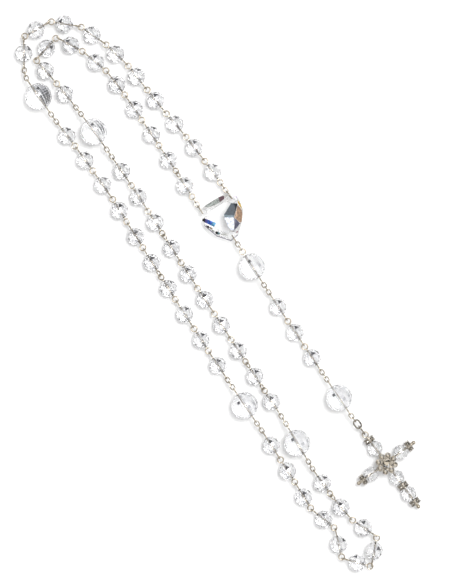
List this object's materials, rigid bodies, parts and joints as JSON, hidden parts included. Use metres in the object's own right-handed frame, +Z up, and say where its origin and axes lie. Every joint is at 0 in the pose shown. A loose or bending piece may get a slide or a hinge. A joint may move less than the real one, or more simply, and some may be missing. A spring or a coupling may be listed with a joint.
{
  "type": "rosary",
  "caption": "Crystal rosary: a closed loop of wire-linked faceted beads in decades, a clear centre crystal and a pendant strand ending in a beaded cross with rhinestone rondelles.",
  "frame": {"origin": "centre of the flat back face of the centre crystal, which lies on the plane z = 0", "axes": "+Z up from the surface that the rosary lies on, -Y along the pendant strand towards the cross, +X to the right seen from above"},
  "size_m": [0.0609, 0.289, 0.012],
  "materials": {
    "ave_crystal": "clear cut crystal, polished facets",
    "pater_crystal": "clear crystal, finely cut facets",
    "centre_glass": "clear cut crystal with an iridescent coating on its bevels",
    "cross_crystal": "clear cut crystal",
    "rhinestone": "foil-backed cut glass",
    "pin_wire": "warm silver-plated wire, lightly tarnished",
    "antique_silver": "antiqued silver plate, dark in its recesses"
  },
  "bodies": {
    "centre": {"centre_crystal": "centre_glass"},
    "run_01": {"run_01_beads": "ave_crystal", "run_01_wire": "pin_wire"},
    "run_02": {"run_02_beads": "ave_crystal", "run_02_wire": "pin_wire"},
    "run_03": {"run_03_beads": "ave_crystal", "run_03_wire": "pin_wire", "loop_pater_1": "pater_crystal"},
    "run_04": {"run_04_beads": "ave_crystal", "run_04_wire": "pin_wire"},
    "run_05": {"run_05_beads": "ave_crystal", "run_05_wire": "pin_wire"},
    "run_06": {"run_06_beads": "ave_crystal", "run_06_wire": "pin_wire"},
    "run_07": {"run_07_beads": "ave_crystal", "run_07_wire": "pin_wire"},
    "run_08": {"run_08_beads": "ave_crystal", "run_08_wire": "pin_wire", "loop_pater_2": "pater_crystal"},
    "run_09": {"run_09_beads": "ave_crystal", "run_09_wire": "pin_wire", "loop_pater_3": "pater_crystal"},
    "run_10": {"run_10_beads": "ave_crystal", "run_10_wire": "pin_wire"},
    "run_11": {"run_11_beads": "ave_crystal", "run_11_wire": "pin_wire"},
    "run_12": {"run_12_beads": "ave_crystal", "run_12_wire": "pin_wire"},
    "run_13": {"run_13_beads": "ave_crystal", "run_13_wire": "pin_wire", "loop_pater_4": "pater_crystal"},
    "run_14": {"run_14_beads": "ave_crystal", "run_14_wire": "pin_wire"},
    "run_15": {"run_15_beads": "ave_crystal", "run_15_wire": "pin_wire"},
    "drop_ring": {"drop_ring": "pin_wire"},
    "drop_chain_1": {"drop_chain_1": "pin_wire"},
    "drop_pater_1": {"drop_pater_1_pin": "pin_wire"},
    "drop_chain_2": {"drop_chain_2": "pin_wire"},
    "drop_ave_1": {"drop_ave_1_pin": "pin_wire"},
    "drop_ave_2": {"drop_ave_2_pin": "pin_wire"},
    "drop_ave_3": {"drop_ave_3_pin": "pin_wire"},
    "drop_chain_3": {"drop_chain_3": "pin_wire"},
    "drop_pater_2": {"drop_pater_2_pin": "pin_wire"},
    "drop_chain_4": {"drop_chain_4": "pin_wire"},
    "cross_ring": {"cross_ring": "antique_silver"},
    "cross_bail": {"cross_bail": "antique_silver"},
    "cross": {"cross_frame": "pin_wire", "cross_crystals": "cross_crystal", "cross_rondelles": "antique_silver", "cross_rondelle_stones": "rhinestone", "cross_flower": "antique_silver", "cross_flower_stones": "rhinestone"},
    "drop_pater_1_bead": {"drop_pater_1_bead": "pater_crystal"},
    "drop_ave_1_bead": {"drop_ave_1_bead": "ave_crystal"},
    "drop_ave_2_bead": {"drop_ave_2_bead": "ave_crystal"},
    "drop_ave_3_bead": {"drop_ave_3_bead": "ave_crystal"},
    "drop_pater_2_bead": {"drop_pater_2_bead": "pater_crystal"}
  },
  "joints": [
    {"name": "loop_at_centre", "type": "hinge", "parent": "centre", "child": "run_01", "pos_m": [-0.00644, 0.007, 0.004], "axis": [0.9932, -0.1168, 0], "range_deg": [-60, 60]},
    {"name": "fold_01", "type": "hinge", "parent": "run_01", "child": "run_02", "pos_m": [-0.00584, 0.0399, 0.004], "axis": [1, 0, 0], "range_deg": [-75, 75]},
    {"name": "fold_02", "type": "hinge", "parent": "run_02", "child": "run_03", "pos_m": [-0.0059, 0.05358, 0.004], "axis": [1, 0, 0], "range_deg": [-75, 75]},
    {"name": "fold_03", "type": "hinge", "parent": "run_03", "child": "run_04", "pos_m": [-0.02604, 0.03441, 0.004], "axis": [1, 0, 0], "range_deg": [-75, 75]},
    {"name": "fold_04", "type": "hinge", "parent": "run_04", "child": "run_05", "pos_m": [-0.02619, 0.02069, 0.004], "axis": [1, 0, 0], "range_deg": [-75, 75]},
    {"name": "fold_05", "type": "hinge", "parent": "run_05", "child": "run_06", "pos_m": [-0.02668, -0.0067, 0.004], "axis": [1, 0, 0], "range_deg": [-75, 75]},
    {"name": "fold_06", "type": "hinge", "parent": "run_06", "child": "run_07", "pos_m": [-0.02701, -0.0341, 0.004], "axis": [1, 0, 0], "range_deg": [-75, 75]},
    {"name": "fold_07", "type": "hinge", "parent": "run_07", "child": "run_08", "pos_m": [-0.02764, -0.09275, 0.00532], "axis": [0.9167, -0.3997, 0], "range_deg": [-75, 75]},
    {"name": "fold_08", "type": "hinge", "parent": "run_08", "child": "run_09", "pos_m": [-0.03842, -0.08805, 0.00532], "axis": [0.9167, -0.3997, 0], "range_deg": [-75, 75]},
    {"name": "fold_09", "type": "hinge", "parent": "run_09", "child": "run_10", "pos_m": [-0.03803, -0.02158, 0.004], "axis": [1, 0, 0], "range_deg": [-75, 75]},
    {"name": "fold_10", "type": "hinge", "parent": "run_10", "child": "run_11", "pos_m": [-0.03732, 0.00582, 0.004], "axis": [1, 0, 0], "range_deg": [-75, 75]},
    {"name": "fold_11", "type": "hinge", "parent": "run_11", "child": "run_12", "pos_m": [-0.03676, 0.04691, 0.004], "axis": [1, 0, 0], "range_deg": [-75, 75]},
    {"name": "fold_12", "type": "hinge", "parent": "run_12", "child": "run_13", "pos_m": [-0.03724, 0.06058, 0.004], "axis": [1, 0, 0], "range_deg": [-75, 75]},
    {"name": "fold_13", "type": "hinge", "parent": "run_13", "child": "run_14", "pos_m": [0.00467, 0.05246, 0.004], "axis": [1, 0, 0], "range_deg": [-75, 75]},
    {"name": "fold_14", "type": "hinge", "parent": "run_14", "child": "run_15", "pos_m": [0.00633, 0.03884, 0.004], "axis": [1, 0, 0], "range_deg": [-75, 75]},
    {"name": "drop_ring_lift", "type": "hinge", "parent": "centre", "child": "drop_ring", "pos_m": [-0.00103, -0.01264, 0.00451], "axis": [-1, 0, 0], "range_deg": [-75, 75]},
    {"name": "drop_chain_1_swing", "type": "hinge", "parent": "drop_ring", "child": "drop_chain_1", "pos_m": [-0.00106, -0.01467, 0.00503], "axis": [0, 0, 1], "range_deg": [-1, 40]},
    {"name": "drop_pater_1_lift", "type": "hinge", "parent": "drop_chain_1", "child": "drop_pater_1", "pos_m": [-0.00111, -0.01793, 0.006], "axis": [1, 0, 0], "range_deg": [-60, 60]},
    {"name": "drop_chain_2_swing", "type": "hinge", "parent": "drop_pater_1", "child": "drop_chain_2", "pos_m": [-0.00137, -0.03633, 0.006], "axis": [0, 0, -1], "range_deg": [-40, 1]},
    {"name": "drop_ave_1_lift", "type": "hinge", "parent": "drop_chain_2", "child": "drop_ave_1", "pos_m": [-0.00146, -0.04206, 0.004], "axis": [-1, 0, 0], "range_deg": [-60, 60]},
    {"name": "drop_ave_2_swing", "type": "hinge", "parent": "drop_ave_1", "child": "drop_ave_2", "pos_m": [-0.0015, -0.05581, 0.004], "axis": [0, 0, 1], "range_deg": [-2, 40]},
    {"name": "drop_ave_3_lift", "type": "hinge", "parent": "drop_ave_2", "child": "drop_ave_3", "pos_m": [-0.0015, -0.06881, 0.004], "axis": [1, 0, 0], "range_deg": [-60, 60]},
    {"name": "drop_chain_3_swing", "type": "hinge", "parent": "drop_ave_3", "child": "drop_chain_3", "pos_m": [-0.0015, -0.08321, 0.004], "axis": [0, 0, -1], "range_deg": [-40, 3]},
    {"name": "drop_pater_2_lift", "type": "hinge", "parent": "drop_chain_3", "child": "drop_pater_2", "pos_m": [-0.0015, -0.08893, 0.006], "axis": [-1, 0, 0], "range_deg": [-60, 60]},
    {"name": "drop_chain_4_swing", "type": "hinge", "parent": "drop_pater_2", "child": "drop_chain_4", "pos_m": [-0.00142, -0.10668, 0.006], "axis": [0, 0, 1], "range_deg": [-4, 40]},
    {"name": "cross_ring_lift", "type": "hinge", "parent": "drop_chain_4", "child": "cross_ring", "pos_m": [-0.00126, -0.10998, 0.00548], "axis": [1, 0, 0], "range_deg": [-60, 60]},
    {"name": "cross_bail_swing", "type": "hinge", "parent": "cross_ring", "child": "cross_bail", "pos_m": [-0.0011, -0.11325, 0.00422], "axis": [0, 0, -1], "range_deg": [-40, 6]},
    {"name": "cross_lift", "type": "hinge", "parent": "cross_bail", "child": "cross", "pos_m": [-0.00093, -0.11674, 0.0035], "axis": [-1, 0, 0], "range_deg": [-60, 60]},
    {"name": "drop_pater_1_spin", "type": "hinge", "parent": "drop_pater_1", "child": "drop_pater_1_bead", "pos_m": [-0.00125, -0.02746, 0.006], "axis": [-0.0145, -0.9999, 0], "continuous": true},
    {"name": "drop_ave_1_spin", "type": "hinge", "parent": "drop_ave_1", "child": "drop_ave_1_bead", "pos_m": [-0.00148, -0.04893, 0.004], "axis": [-0.0031, -1, 0], "continuous": true},
    {"name": "drop_ave_2_spin", "type": "hinge", "parent": "drop_ave_2", "child": "drop_ave_2_bead", "pos_m": [-0.0015, -0.06266, 0.004], "axis": [0, -1, 0], "continuous": true},
    {"name": "drop_ave_3_spin", "type": "hinge", "parent": "drop_ave_3", "child": "drop_ave_3_bead", "pos_m": [-0.0015, -0.07636, 0.004], "axis": [0, -1, 0], "continuous": true},
    {"name": "drop_pater_2_spin", "type": "hinge", "parent": "drop_pater_2", "child": "drop_pater_2_bead", "pos_m": [-0.00146, -0.0978, 0.006], "axis": [0.0046, -1, 0], "continuous": true}
  ],
  "couplings": [
    {"joint": "fold_02", "follows": "fold_01", "ratio": -1},
    {"joint": "fold_03", "follows": "fold_01", "ratio": 1},
    {"joint": "fold_04", "follows": "fold_01", "ratio": -1},
    {"joint": "fold_11", "follows": "fold_01", "ratio": 1},
    {"joint": "fold_12", "follows": "fold_01", "ratio": -1},
    {"joint": "fold_13", "follows": "fold_01", "ratio": 1},
    {"joint": "fold_14", "follows": "fold_01", "ratio": -1},
    {"joint": "fold_06", "follows": "fold_05", "ratio": -1},
    {"joint": "fold_09", "follows": "fold_05", "ratio": 1},
    {"joint": "fold_10", "follows": "fold_05", "ratio": -1},
    {"joint": "fold_08", "follows": "fold_07", "ratio": -1}
  ]
}
